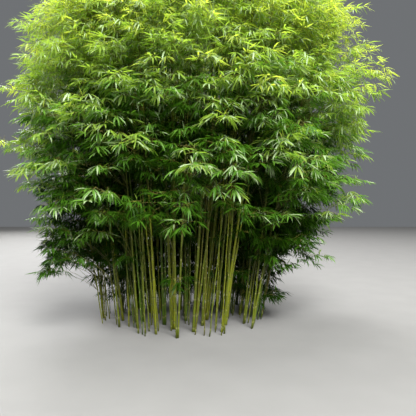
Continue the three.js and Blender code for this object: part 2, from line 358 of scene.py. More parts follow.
def rods(lines, radii, sides, capped=True):
    # tapering rods with as many rings each: lines (n, rings, 3), radii (n, rings)
    n, rings = radii.shape
    ways = np.empty_like(lines)
    ways[:, 1:-1] = lines[:, 2:] - lines[:, :-2]
    ways[:, 0] = lines[:, 1] - lines[:, 0]
    ways[:, -1] = lines[:, -1] - lines[:, -2]
    ways = unit(ways)
    overall = unit(lines[:, -1] - lines[:, 0])
    steep = np.abs(overall[:, 2:]) > 0.8
    steady = np.where(steep, [[1.0, 0, 0]], [[0, 0, 1.0]])[:, None]  # never along the rod
    across = unit(steady - (steady * ways).sum(-1, keepdims=True) * ways)
    other = np.cross(ways, across)
    angles = np.arange(sides) * 2 * math.pi / sides
    ring = across[:, :, None] * np.cos(angles)[:, None] + other[:, :, None] * np.sin(angles)[:, None]
    points = lines[:, :, None] + ring * radii[:, :, None, None]
    k = np.arange(sides)
    after = (k + 1) % sides
    faces = []
    for r in range(rings - 1):
        low, high = r * sides, (r + 1) * sides
        faces.append(np.stack([low + k, low + after, high + after], 1))
        faces.append(np.stack([low + k, high + after, high + k], 1))
    if capped:
        fan = np.arange(1, sides - 1)
        last = (rings - 1) * sides
        faces.append(np.stack([0 * fan, fan + 1, fan], 1))
        faces.append(np.stack([last + 0 * fan, last + fan, last + fan + 1], 1))
    faces = np.concatenate(faces)
    triangles = faces[None] + (np.arange(n) * rings * sides)[:, None, None]
    return points.reshape(-1, 3), triangles.reshape(-1, 3)


def joined(parts):
    # one mesh of several: each part is (points, triangles)
    points = np.concatenate([part[0] for part in parts])
    starts = np.cumsum([0] + [len(part[0]) for part in parts[:-1]])
    triangles = np.concatenate([part[1] + start for part, start in zip(parts, starts)])
    return points, triangles


def bowed(starts, bends, ends, shares):
    # points at shares of smooth lines from starts to ends, drawn towards the bends
    t = shares[None, :, None]
    return (1 - t) ** 2 * starts[:, None] + 2 * t * (1 - t) * bends[:, None] + t**2 * ends[:, None]


# Materials

def newMaterial(name, roughness, gloss=0.5):
    material = bpy.data.materials.new(name)
    material.use_nodes = True
    shader = material.node_tree.nodes["Principled BSDF"]
    shader.inputs["Roughness"].default_value = roughness
    shader.inputs["Specular IOR Level"].default_value = gloss
    return material, shader


def shade(colour, factor):
    return tuple(min(1, channel * factor) for channel in colour)


def mottledMaterial(name, colour, finish):
    # soft noise that runs from a darker shade of the colour into a lighter one
    material, shader = newMaterial(name, finish["roughness"], finish["gloss"])
    tree = material.node_tree
    place = tree.nodes.new("ShaderNodeTexCoord")
    stretch = tree.nodes.new("ShaderNodeMapping")
    noise = tree.nodes.new("ShaderNodeTexNoise")
    ramp = tree.nodes.new("ShaderNodeValToRGB")
    stretch.inputs["Scale"].default_value = finish["scale"]
    noise.inputs["Scale"].default_value = 1.0
    noise.inputs["Detail"].default_value = finish["detail"]
    for stop, position, factor in zip(ramp.color_ramp.elements, finish["ramp"], finish["shades"]):
        stop.position = position
        stop.color = (*shade(colour, factor), 1)
    tree.links.new(place.outputs["Object"], stretch.inputs["Vector"])
    tree.links.new(stretch.outputs["Vector"], noise.inputs["Vector"])
    tree.links.new(noise.outputs["Fac"], ramp.inputs["Fac"])
    tree.links.new(ramp.outputs["Color"], shader.inputs["Base Color"])
    if "bump" in finish:
        strength, height = finish["bump"]
        bump = tree.nodes.new("ShaderNodeBump")
        bump.inputs["Strength"].default_value = strength
        bump.inputs["Distance"].default_value = height
        tree.links.new(noise.outputs["Fac"], bump.inputs["Height"])
        tree.links.new(bump.outputs["Normal"], shader.inputs["Normal"])
    return material


# Canes

caneForm = {
    "sides": 8,
    "youngSides": 5,
    "firstNode": (0.4, 0.9),  # share of an internode at which the lowest node lies
    "lastNode": 60,  # least length of cane above the highest node
    "internode": (150, 290, 190),  # lengths at the three heights below
    "internodeAt": (0, 0.33, 1),  # shares of the cane
    "uneven": (0.88, 1.12),  # least and greatest share of the internode's usual length
    "bow": 3.0,  # how far a cane steps aside at each node
    "tip": (8, 0.25),  # length over which the tip narrows, and share of its radius left
    "seed": 31,
}

# rings about a node: how far along the cane, share of its radius, and what starts
# there: 0 skin, 1 pale bloom, 2 scar
nodeRings = [(-27, 1.0, 1), (-5, 0.985, 2), (0, 1.12, 0), (14, 1.0, 0)]

caneLook = {
    "tints": {
        "olive": (0.067, 0.085, 0.003),
        "yellow": (0.104, 0.118, 0.003),
        "green": (0.045, 0.080, 0.003),
        "brown": (0.073, 0.070, 0.005),
    },
    # dealt out to the stools in this order
    "deal": ("olive", "yellow", "green", "olive", "brown", "yellow", "olive", "green", "yellow", "olive"),
    "bloom": (0.145, 0.160, 0.030),
    "scar": (0.030, 0.025, 0.007),
    # shades: darkest and lightest share of the colour; scale: how fine, each way;
    # ramp: where in the noise they end; bump: strength and height in metres
    "finish": {
        "skin": {
            "roughness": 0.42, "gloss": 0.3, "shades": (0.7, 1.3), "scale": (60, 60, 2.5),
            "detail": 4.0, "ramp": (0.3, 0.75), "bump": (0.15, 0.002),
        },
        "bloom": {
            "roughness": 0.6, "gloss": 0.5, "shades": (0.6, 1.1), "scale": (90, 90, 40),
            "detail": 3.0, "ramp": (0.35, 0.7),
        },
        "scar": {
            "roughness": 0.7, "gloss": 0.5, "shades": (0.7, 1.5), "scale": (90, 90, 90),
            "detail": 3.0, "ramp": (0.35, 0.7),
        },
    },
}


def caneMaterials(tint):
    # in the order in which nodeRings counts them
    colours = {"skin": caneLook["tints"][tint], "bloom": caneLook["bloom"], "scar": caneLook["scar"]}
    finishes = caneLook["finish"]
    return [mottledMaterial(f"cane_{zone}_{tint}", colours[zone], finishes[zone]) for zone in finishes]


def nodePlaces(cane, dice):
    # shares of the cane at which its nodes lie
    places = []
    run = caneForm["internode"][0] * dice.uniform(*caneForm["firstNode"])
    while run < cane["length"] - caneForm["lastNode"]:
        share = run / cane["length"]
        places.append(share)
        usual = np.interp(share, caneForm["internodeAt"], caneForm["internode"])
        run += usual * dice.uniform(*caneForm["uneven"])
    return np.array(places)


def caneMesh(cane, dice):
    length = cane["length"]
    tipLength, tipShare = caneForm["tip"]
    rings = [(0.0, caneRule["flare"], 0)]
    for share in cane["nodes"]:
        rings += [(share * length + along, wide, zone) for along, wide, zone in nodeRings]
    rings += [(length - tipLength, 1.0, 0), (length, tipShare, 0)]
    rings = sorted(ring for ring in rings if 0 <= ring[0] <= length)
    along, wide, zones = (np.array(column) for column in zip(*rings))
    t = along / length
    line = canePoint(cane, t)
    side = dice.uniform(0, 2 * math.pi)
    steps = caneForm["bow"] * np.where(np.arange(len(cane["nodes"])) % 2, 1, -1)
    bend = np.interp(t, cane["nodes"], steps)
    line[1:, 0] += (bend * math.cos(side))[1:]
    line[1:, 1] += (bend * math.sin(side))[1:]
    radii = caneRadius(cane, np.maximum(t, caneRule["stations"][1])) * wide
    sides = caneForm["sides" if "node" in cane else "youngSides"]
    points, triangles = rods(line[None], radii[None], sides)
    points[:sides, 2] = 0  # the flat cut at the ground
    strips = np.repeat(zones[:-1], 2 * sides)
    caps = np.zeros(len(triangles) - len(strips), dtype=int)
    return points, triangles, np.concatenate([strips, caps])


def makeCanes():
    dice = random.Random(caneForm["seed"])
    for cane in canes:
        cane["nodes"] = nodePlaces(cane, dice)
    deal = caneLook["deal"]
    for tint in caneLook["tints"]:
        dealt = [cane for cane in canes if deal[cane["stool"] % len(deal)] == tint]
        parts = [caneMesh(cane, dice) for cane in dealt]
        points, triangles = joined(parts)
        zones = np.concatenate([part[2] for part in parts])
        piece = meshPiece("canes_" + tint, points, triangles, caneMaterials(tint), zones)
        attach(piece, "root")
        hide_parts(*sorted({cane["node"] for cane in dealt if "node" in cane}))
        print("canes", tint, len(dealt), "canes", len(triangles), "triangles")


makeCanes()


# The crown's skin: how far the masses reach from the heart of the crown, with the
# hollows between them filled, and rounded off to a dome above

skin = {
    "heart": (130, 0, 2750),
    "rows": 90,  # from straight up to straight down
    "columns": 180,  # once round
    "close": (5, 11),  # rows and columns each way over which hollows are filled
    "blur": 3,
    "dome": (2480, 2060, 2830),  # farthest to the side, to the front and up
    "square": 2.5,  # 2 would be a round dome
    "ripple": 0.09,  # depth of the dents, as a share of the reach
    # each wave of dents: how often round, how often from top to bottom, and its shift
    "waves": ((3, 5, 1), (-2, 7, 0), (9, 6, 0)),
    "beyond": 0.022,  # share of the CAD box by which leaves may pass it
}

# the canes' middles and radii are looked up by height
caneTable = {"top": 5600, "heights": 181, "steps": 120}


def farthest(ways):
    # how far the masses' spaces reach along each way from the heart
    best = np.zeros(ways.shape[:-1])
    for space in spaces:
        start = (np.array(skin["heart"]) - space["middle"]) / space["reach"]
        way = ways / space["reach"]
        a = (way**2).sum(-1)
        b = way @ start
        under = b * b - a * (start @ start - 1)
        far = (-b + np.sqrt(np.maximum(under, 0))) / a
        best = np.maximum(best, np.where(under > 0, far, 0))
    return best


def around(grid, rows, columns, rule):
    # a rule, such as the largest, over each place's neighbours
    turned = rule.reduce([np.roll(grid, k, axis=1) for k in range(-columns, columns + 1)])
    padded = np.pad(turned, ((rows, rows), (0, 0)), mode="edge")
    return rule.reduce([padded[k:k + len(grid)] for k in range(2 * rows + 1)])


def waveAt(azimuth, polar, turns, falls, shift=0):
    return np.sin(turns * azimuth + falls * polar + shift)


def makeSkin():
    polar = (np.arange(skin["rows"]) + 0.5)[:, None] * math.pi / skin["rows"]
    azimuth = (np.arange(skin["columns"]) + 0.5)[None] * 2 * math.pi / skin["columns"]
    ways = heading(azimuth + 0 * polar, math.pi / 2 - polar + 0 * azimuth)
    filled = around(farthest(ways), *skin["close"], np.maximum)
    filled = around(filled, *skin["close"], np.minimum)
    blur = skin["blur"]
    crowned = filled > 0
    share = around(crowned.astype(float), blur, blur, np.add)
    smooth = around(filled, blur, blur, np.add) / np.maximum(share, 1)
    side, front, up = skin["dome"]
    level = np.hypot(ways[..., 0] / side, ways[..., 1] / front)
    upwards = np.maximum(ways[..., 2], 0) / up
    dome = (level ** skin["square"] + upwards ** skin["square"]) ** (-1 / skin["square"])
    first, second, third = (waveAt(azimuth, polar, *wave) for wave in skin["waves"])
    dents = 0.5 + 0.25 * (first * second + third)  # from 0 to 1
    smooth = np.minimum(smooth, dome) * (1 - skin["ripple"] * dents)
    return np.where(crowned, smooth, 0)


def skinReach(ways):
    polar = np.arccos(np.clip(ways[..., 2], -1, 1))
    azimuth = np.arctan2(ways[..., 1], ways[..., 0]) % (2 * math.pi)
    row = np.minimum((polar / math.pi * skin["rows"]).astype(int), skin["rows"] - 1)
    column = np.minimum((azimuth / (2 * math.pi) * skin["columns"]).astype(int), skin["columns"] - 1)
    return skinMap[row, column]


def depthInCrown(points):
    # how deep under the crown's skin points lie, less than 0 outside
    arms = points - skin["heart"]
    far = np.linalg.norm(arms, axis=-1)
    return skinReach(arms / far[..., None]) - far


def fillCaneTable():
    steps = np.linspace(0, 1, caneTable["steps"])
    for cane in canes:
        line = canePoint(cane, steps)
        cane["x"] = np.interp(heights, line[:, 2], line[:, 0], right=np.nan)
        cane["y"] = np.interp(heights, line[:, 2], line[:, 1], right=np.nan)
        cane["r"] = np.interp(heights, line[:, 2], caneRadius(cane, steps))


def touchesCane(points, room, skip=None):
    # whether points lie nearer to a cane's skin than the room given
    touching = np.zeros(points.shape[:-1], dtype=bool)
    for cane in canes:
        if cane is skip:
            continue
        x = np.interp(points[..., 2], heights, cane["x"])
        y = np.interp(points[..., 2], heights, cane["y"])
        r = np.interp(points[..., 2], heights, cane["r"])
        with np.errstate(invalid="ignore"):
            touching |= np.hypot(points[..., 0] - x, points[..., 1] - y) < r + room
    return touching


skinMap = makeSkin()
cadLow, cadHigh = (np.array(corner) / millimetre for corner in cadBox)
beyond = (cadHigh - cadLow) * skin["beyond"]
widestBox = cadLow - beyond, cadHigh + beyond
heights = np.linspace(0, caneTable["top"], caneTable["heights"])
fillCaneTable()
print("crown: reaches", round(skinMap.max()), "mm from its heart at most")


# Plumes: where the leafy ends of the branches are

plumeRule = {
    # ways tried, how deep under the skin the plumes start, and the share of them that
    # is kept among the hands below and the arching sprays above
    "layers": (
        {"tried": 3500, "depth": 420, "kept": (0.45, 0.96)},
        {"tried": 1500, "depth": 850, "kept": (0.82, 0.72)},
        {"tried": 650, "depth": 1270, "kept": (1.0, 0.4)},
    ),
    "arching": (2500, 3500),  # heights between which hands turn into arching sprays
    "archingLoose": 0.15,
    "bySize": 0.4,  # how far a plume's size sets the depth at which it starts
    "loose": 150,  # spread of that depth
    "clusters": 0.38,  # how strongly plumes gather, with gaps between
    "waves": ((7, 6), (-4, 11)),  # of the gaps: how often round and from top to bottom
    "widest": 2700,  # reach at which no plume is left out for the crown's curve
    "lowest": 500,  # height below which the crown has no plumes
    "heart": 200,  # nothing starts nearer to the heart than this
    "room": 15,  # least room between a plume's start and the canes
    "handSize": (0.95, 1.35),
    "archingSize": (0.68, 1.0),
    "tipShares": (0.70, 0.76, 0.82, 0.87, 0.92, 0.96, 0.99),  # of a cane, where plumes grow at its top
    "youngShares": (0.76, 0.87, 0.96),
    "tipSize": (0.5, 0.85),
    "seed": 539,
}

# where the front of the crown thins out over the bare canes
frontEdge = {
    "height": (1200, 1800),
    "least": 0.34,  # share of the plumes left at the lower height
    "behind": -200,  # y from which nothing is left out
    "sides": (-1100, 1080),  # x beyond which nothing is left out
    "more": 1.7,  # times as many plumes low at the sides and the back
}

# small sprays low on the canes: at most nodes behind, at very few in front
lowRule = {
    "height": (220, 1750),
    "size": (0.55, 0.95),
    "behind": 0.95,  # share of the nodes that bear one
    "front": ((600, 700, 1000, 1150), (0, 0.07, 0.07, 0.16)),  # the same at heights on the front canes
    "edge": (-250, 450),  # y between which the front passes into the back
    "side": (1150, 0.9),  # farthest to the side at the lowest height, and more for each height
    "aside": (820, 850),  # past this x and above this height every side bears as many as the back
}

# sprays that hang under the crown's edge: ones at the left, darker by painted shade, and lighter hands in
# front, by painted light
hangingRules = (
    {
        "count": 46, "size": (0.6, 0.95), "height": (720, 1200),
        "round": (140 * degree, 222 * degree), "out": (1300, 1800),
    },
    {
        "count": 12, "size": (0.95, 1.25), "height": (1250, 1700),
        "round": (232 * degree, 298 * degree), "out": (1300, 1750),
    },
)

# how a plume's branch finds its cane
seatRule = {
    "shares": (0.1, 0.98),  # of a cane, between which branches leave it
    "drop": 360,  # how far below the plume the nearest node is looked for
    "tries": 14,  # nodes tried until a branch passes clear of the other canes
    "bow": 60,  # how far the tried branch bows upwards
    "steps": 9,  # points looked at along it
    "room": 6,  # least room to the other canes
}


def archingAt(points):
    low, high = plumeRule["arching"]
    return np.clip((points[:, 2] - low) / (high - low), 0, 1)


def ballWays(count, turn):
    # ways spread evenly over a ball
    k = np.arange(count)
    z = 1 - (2 * k + 1) / count
    level = np.sqrt(1 - z * z)
    angle = k * goldenAngle + turn
    return np.stack([level * np.cos(angle), level * np.sin(angle), z], axis=1)


def frontShare(points):
    # fewer plumes over the bare canes, and more beside and behind them
    low, high = frontEdge["height"]
    left, right = frontEdge["sides"]
    bare = (points[:, 1] < frontEdge["behind"]) & (points[:, 0] > left) & (points[:, 0] < right)
    thinned = np.clip((points[:, 2] - low) / (high - low), frontEdge["least"], 1)
    return np.where(bare, thinned, np.where(points[:, 2] < high, frontEdge["more"], 1))


def crownPlaces(rng):
    # plumes in layers under the crown's skin
    places, sizes = [], []
    for layer in plumeRule["layers"]:
        tried, depth = layer["tried"], layer["depth"]
        ways = ballWays(tried, rng.uniform(0, 2 * math.pi))
        reach = skinReach(ways)
        upper = archingAt(skin["heart"] + ways * (reach - depth)[:, None])
        hand = between(plumeRule["handSize"], rng.random(tried))
        size = between((hand, between(plumeRule["archingSize"], rng.random(tried))), upper)
        deep = depth * (1 - plumeRule["bySize"] + plumeRule["bySize"] * size)
        deep += rng.normal(0, plumeRule["loose"], tried)
        points = skin["heart"] + ways * (reach - deep)[:, None]
        polar, azimuth = np.arccos(ways[:, 2]), np.arctan2(ways[:, 1], ways[:, 0])
        first, second = (waveAt(azimuth, polar, *wave) for wave in plumeRule["waves"])
        share = (reach / plumeRule["widest"]) ** 2 * (1 + plumeRule["clusters"] * 2 * (first * second))
        share *= between(layer["kept"], upper)
        share *= frontShare(points)
        keep = rng.random(tried) < share
        keep &= (reach > deep + plumeRule["heart"]) & (points[:, 2] > plumeRule["lowest"])
        keep &= ~touchesCane(points, plumeRule["room"])
        places.append(points[keep])
        sizes.append(size[keep])
    return np.concatenate(places), np.concatenate(sizes)


def tipPlaces(rng):
    # plumes on the canes' own tops
    places = np.concatenate([
        canePoint(cane, plumeRule["tipShares" if "node" in cane else "youngShares"]) for cane in canes
    ])
    return places, rng.uniform(*plumeRule["tipSize"], len(places))


def lowPlaces(rng):
    # sprays that stand on the canes' own nodes
    nodes = np.concatenate([canePoint(cane, cane["nodes"]) for cane in canes])
    low, high = lowRule["height"]
    side, slope = lowRule["side"]
    usable = (nodes[:, 2] > low) & (nodes[:, 2] < high)
    usable &= np.abs(nodes[:, 0]) < side + slope * (nodes[:, 2] - low)
    nodes = nodes[usable]
    start, end = lowRule["edge"]
    asideX, asideHeight = lowRule["aside"]
    behind = np.clip((nodes[:, 1] - start) / (end - start), 0, 1)
    behind[(np.abs(nodes[:, 0]) > asideX) & (nodes[:, 2] > asideHeight)] = 1
    front = np.interp(nodes[:, 2], *lowRule["front"])
    bears = rng.random(len(nodes)) < between((front, lowRule["behind"]), behind)
    return nodes[bears], rng.uniform(*lowRule["size"], bears.sum())


def hangingPlaces(rng):
    places, sizes = [], []
    for rule in hangingRules:
        n = rule["count"]
        azimuth = rng.uniform(*rule["round"], n)
        out = rng.uniform(*rule["out"], n)
        height = rng.uniform(*rule["height"], n)
        places.append(np.stack([out * np.cos(azimuth), out * np.sin(azimuth), height], axis=1))
        sizes.append(rng.uniform(*rule["size"], n))
    places, sizes = np.concatenate(places), np.concatenate(sizes)
    keep = ~touchesCane(places, plumeRule["room"])
    return places[keep], sizes[keep]


plumeKinds = {"crown": crownPlaces, "tip": tipPlaces, "low": lowPlaces, "hanging": hangingPlaces}


def placePlumes(rng):
    grown = [findPlaces(rng) for findPlaces in plumeKinds.values()]
    counts = [len(places) for places, sizes in grown]
    print("plumes:", dict(zip(plumeKinds, counts)))
    places = np.concatenate([places for places, sizes in grown])
    loose = plumeRule["archingLoose"]
    return {
        "place": places,
        "size": np.concatenate([sizes for places, sizes in grown]),
        "kind": np.repeat(list(plumeKinds), counts),
        "arching": archingAt(places) * (1 - loose) + rng.uniform(0, loose, len(places)),
    }


def seatPlumes(places):
    # each plume's branch leaves the nearest cane at one of its nodes
    seats, radii, owners = [], [], []
    low, high = seatRule["shares"]
    for cane in canes:
        usable = cane["nodes"][(cane["nodes"] > low) & (cane["nodes"] < high)]
        seats.append(canePoint(cane, usable))
        radii.append(caneRadius(cane, usable))
        owners += [cane] * len(usable)
    seats, radii = np.concatenate(seats), np.concatenate(radii)
    steps = np.linspace(0, 1, seatRule["steps"])
    chosen = []
    for place in places:
        far = np.linalg.norm(seats - place + [0, 0, seatRule["drop"]], axis=1)
        nearest = np.argsort(far)[:seatRule["tries"]]
        best = nearest[0]
        for index in nearest:
            bend = (seats[index] + place) / 2 + [0, 0, seatRule["bow"]]
            line = bowed(seats[index][None], bend[None], place[None], steps)[0]
            if not touchesCane(line[1:-1], seatRule["room"], owners[index]).any():
                best = index
                break
        chosen.append(best)
    return seats[chosen], radii[chosen]


# Sprays: a plume's axis, its branchlets and their leaves. Pairs in round brackets run
# from a low, spreading hand of long leaves to a long arching spray of shorter ones.

sprayForm = {
    "axisLength": (200, 430),
    "axisStart": (48 * degree, 58 * degree),  # pitch at the axis' start
    "axisEnd": (-6 * degree, 2 * degree),
    "tipLift": 34 * degree,  # how much steeper the axes at the canes' tips stand
    "branchlets": 7,
    "branchletFrom": 0.12,  # share of the axis at which the first one stands
    "branchletLong": (185, 230),  # at the axis' start
    "branchletShort": (125, 110),  # at its end
    "branchletStart": (20 * degree, 34 * degree),  # pitch at the branchlet's start
    "branchletEnd": (-22 * degree, -22 * degree),
    "fan": (125 * degree, 78 * degree),  # how far round the axis they stand
    "leafRoom": (120, 90),  # kept for the leaves within the box
    "leastSize": 0.4,  # share of its size that a spray keeps near the box
}

# how far single sprays depart from that: spreads in radians, and shares of a length
sprayLoose = {
    "axisTurn": 0.45,
    "axisLength": (0.85, 1.15),
    "axisStart": 0.2,
    "axisEnd": 0.26,
    "branchletLength": (0.8, 1.2),
    "branchletStart": 0.3,
    "branchletEnd": 0.34,
}

leafForm = {
    "count": 8,  # on a branchlet
    "from": (0.74, 0.46),  # share of the branchlet at which they start
    "asideFirst": (80 * degree, 64 * degree),  # from the branchlet's way
    "asideLast": (8 * degree, 12 * degree),
    "shortest": (120, 98),
    "longest": (188, 158),
    "highest": (12 * degree, 40 * degree),  # pitch
    "lowest": (-60 * degree, -70 * degree),
    "together": (0.6, 0.4),  # how far the leaves of one branchlet share their pitch
    "bySize": 0.2,  # how far a spray's size sets its leaves' length
    "placeLoose": 0.02,
    "turnLoose": 0.16,
    "young": 4,  # short leaves at the plume's head
    "youngLoose": 8,
    "youngTurn": 2.4,
    "youngLength": (60, 120),
    "youngPitch": (8 * degree, 66 * degree),
    "offGround": 20,
    "offCanes": (1, 4),  # at the leaf's tip and at its middle
}

# one leaf, with its least and greatest values in round brackets
bladeForm = {
    "width": (0.1, 0.13),  # share of its length
    "narrow": 0.8,  # share of that width at the second pair of corners
    "sections": (0.32, 0.36, 0.32),  # shares of its length
    "bend": (6 * degree, 30 * degree),
    "early": 0.3,  # share of the bend before the last section
    "roll": 36 * degree,
    "twist": 24 * degree,
}

# a leaf's corners: 0 its root, 1 and 2 either side at a third, 3 and 4 at two thirds,
# 5 its tip
fineLeaf = np.array([[0, 2, 1], [1, 2, 4], [1, 4, 3], [3, 4, 5]])
plainLeaf = np.array([[0, 2, 1], [1, 2, 5]])  # inside the crown, without the second pair


def boxRoom(places, facing):
    # how far places may still reach sideways until they pass the box
    way = np.stack([np.cos(facing), np.sin(facing)], axis=1)
    limit = np.where(way > 0, widestBox[1][:2], widestBox[0][:2])
    least = 0.01  # below this a way runs past the box's side
    way = np.where(np.abs(way) > least, way, least * np.sign(way + 1e-9))
    return np.min((limit - places[:, :2]) / way, axis=1)


def formAt(arching):
    return {name: between(pair, arching) for name, pair in sprayForm.items() if isinstance(pair, tuple)}


def growAxes(plumes, rng):
    # the axis faces away from the crown's middle, rises and bows over
    places, arching = plumes["place"], plumes["arching"]
    n = len(places)
    form = formAt(arching)
    lift = np.where(plumes["kind"] == "tip", sprayForm["tipLift"] * arching, 0)
    arms = places - [crown["middle"][0], crown["middle"][1], 0]
    facing = np.arctan2(arms[:, 1], arms[:, 0]) + rng.normal(0, sprayLoose["axisTurn"], n)
    reachOut = (form["axisLength"] + form["branchletShort"]) * plumes["size"] + form["leafRoom"]
    size = plumes["size"] * np.clip(boxRoom(places, facing) / reachOut, sprayForm["leastSize"], 1)
    length = form["axisLength"] * size * rng.uniform(*sprayLoose["axisLength"], n)
    startPitch = form["axisStart"] + lift + rng.normal(0, sprayLoose["axisStart"], n)
    endPitch = form["axisEnd"] + lift + rng.normal(0, sprayLoose["axisEnd"], n)
    middle = places + heading(facing, startPitch) * (length / 2)[:, None]
    end = middle + heading(facing, endPitch) * (length / 2)[:, None]
    plumes.update(size=size, facing=facing, middle=middle, end=end, endPitch=endPitch)


def growBranchlets(plumes, rng):
    # they stand round the axis, and the last of them carries on from its end
    n, count = len(plumes["place"]), sprayForm["branchlets"]
    form = formAt(plumes["arching"][:, None])
    share = np.linspace(sprayForm["branchletFrom"], 1, count)
    roots = bowed(plumes["place"], plumes["middle"], plumes["end"], share)
    aside = ((np.arange(count) * goldenShare + rng.random((n, 1))) % 1) * 2 - 1
    aside[:, -1] = 0
    azimuth = plumes["facing"][:, None] + aside * form["fan"]
    length = between((form["branchletLong"], form["branchletShort"]), share)
    length = length * plumes["size"][:, None] * rng.uniform(*sprayLoose["branchletLength"], (n, count))
    start = form["branchletStart"] + rng.normal(0, sprayLoose["branchletStart"], (n, count))
    end = form["branchletEnd"] + rng.normal(0, sprayLoose["branchletEnd"], (n, count))
    start[:, -1] = plumes["endPitch"]
    half = roots + heading(azimuth, start) * (length / 2)[..., None]
    tips = half + heading(azimuth, end) * (length / 2)[..., None]
    plumes["azimuth"] = azimuth
    plumes["branchlets"] = np.clip(np.stack([roots, half, tips], axis=2), *widestBox)


def growLeaves(plumes, rng):
    # where each leaf stands, how it points, its plume and how much lighter it is
    n, count = plumes["azimuth"].shape
    perTwig = leafForm["count"]
    pairs = ("from", "asideFirst", "asideLast", "shortest", "longest", "highest", "lowest", "together")
    form = {name: between(leafForm[name], plumes["arching"][:, None, None]) for name in pairs}
    along = (np.arange(perTwig) + 0.5) / perTwig
    share = between((form["from"], 1.0), along)
    share = share + rng.normal(0, leafForm["placeLoose"], (n, count, perTwig))
    first = np.clip(share * 2, 0, 1)[..., None]
    second = np.clip(share * 2 - 1, 0, 1)[..., None]
    roots, half, tips = (plumes["branchlets"][:, :, None, k] for k in range(3))
    root = roots + (half - roots) * first + (tips - half) * second
    side = np.where(np.arange(perTwig) % 2, 1, -1) * rng.choice([-1, 1], (n, count, 1))
    aside = between((form["asideFirst"], form["asideLast"]), along)
    turn = plumes["azimuth"][..., None] + side * aside + rng.normal(0, leafForm["turnLoose"], share.shape)
    droop = between((rng.random(share.shape), rng.random((n, count, 1))), form["together"])
    length = between((form["shortest"], form["longest"]), rng.random(share.shape))
    bySize = 1 - leafForm["bySize"] + leafForm["bySize"] * plumes["size"]
    lighter = (rng.random((n, count)) - 0.5) * leafLook["byTwig"]
    body = {
        "turn": turn,
        "pitch": between((form["highest"], form["lowest"]), droop),
        "length": length * bySize[:, None, None],
        "plume": np.broadcast_to(np.arange(n)[:, None, None], share.shape),
        "lighter": np.broadcast_to(lighter[..., None], share.shape),
    }

    young = leafForm["young"]
    headRoot = np.repeat(plumes["end"][:, None], young, axis=1)
    headRoot = headRoot + rng.normal(0, leafForm["youngLoose"], (n, young, 3))
    youngTurn = leafForm["youngTurn"]
    head = {
        "turn": plumes["facing"][:, None] + rng.uniform(-youngTurn, youngTurn, (n, young)),
        "pitch": rng.uniform(*leafForm["youngPitch"], (n, young)),
        "length": rng.uniform(*leafForm["youngLength"], (n, young)),
        "plume": np.broadcast_to(np.arange(n)[:, None], (n, young)),
        "lighter": np.full((n, young), leafLook["young"]),
    }
    leaves = {name: np.concatenate([body[name].ravel(), head[name].ravel()]) for name in body}
    leaves["root"] = np.concatenate([root.reshape(-1, 3), headRoot.reshape(-1, 3)])
    return leaves


def leafShapes(leaves, rng):
    turn, pitch, length = leaves["turn"], leaves["pitch"], leaves["length"]
    n = len(turn)
    bend = rng.uniform(*bladeForm["bend"], n)
    roll = rng.uniform(-1, 1, n) * bladeForm["roll"]
    twist = rng.uniform(-1, 1, n) * bladeForm["twist"]
    halfWidth = length * rng.uniform(*bladeForm["width"], n) / 2
    level = np.stack([-np.sin(turn), np.cos(turn), np.zeros(n)], axis=1)
    normal = np.cross(heading(turn, pitch), level)

    def across(lean):
        return level * np.cos(lean)[:, None] + normal * np.sin(lean)[:, None]

    early = bladeForm["early"] * bend
    one, two, three = (share * length for share in bladeForm["sections"])
    first = leaves["root"] + heading(turn, pitch + early) * one[:, None]
    second = first + heading(turn, pitch - early) * two[:, None]
    tip = second + heading(turn, pitch - bend) * three[:, None]
    wide = across(roll) * halfWidth[:, None]
    narrow = across(roll + twist) * (bladeForm["narrow"] * halfWidth)[:, None]
    corners = [leaves["root"], first + wide, first - wide, second + narrow, second - narrow, tip]
    return np.stack(corners, axis=1)


def standClear(shapes):
    # whether leaves stay within the box, above the ground and off the canes
    tips, middles = shapes[:, 5], shapes[:, 1:5].mean(1)
    atTip, atMiddle = leafForm["offCanes"]
    inside = ((tips > widestBox[0]) & (tips < widestBox[1])).all(1)
    above = shapes[:, 1:, 2].min(axis=1) > leafForm["offGround"]
    return inside & above & ~touchesCane(tips, atTip) & ~touchesCane(middles, atMiddle)


# Foliage: the pieces made of the sprays, a ring of masses and a tint at a time

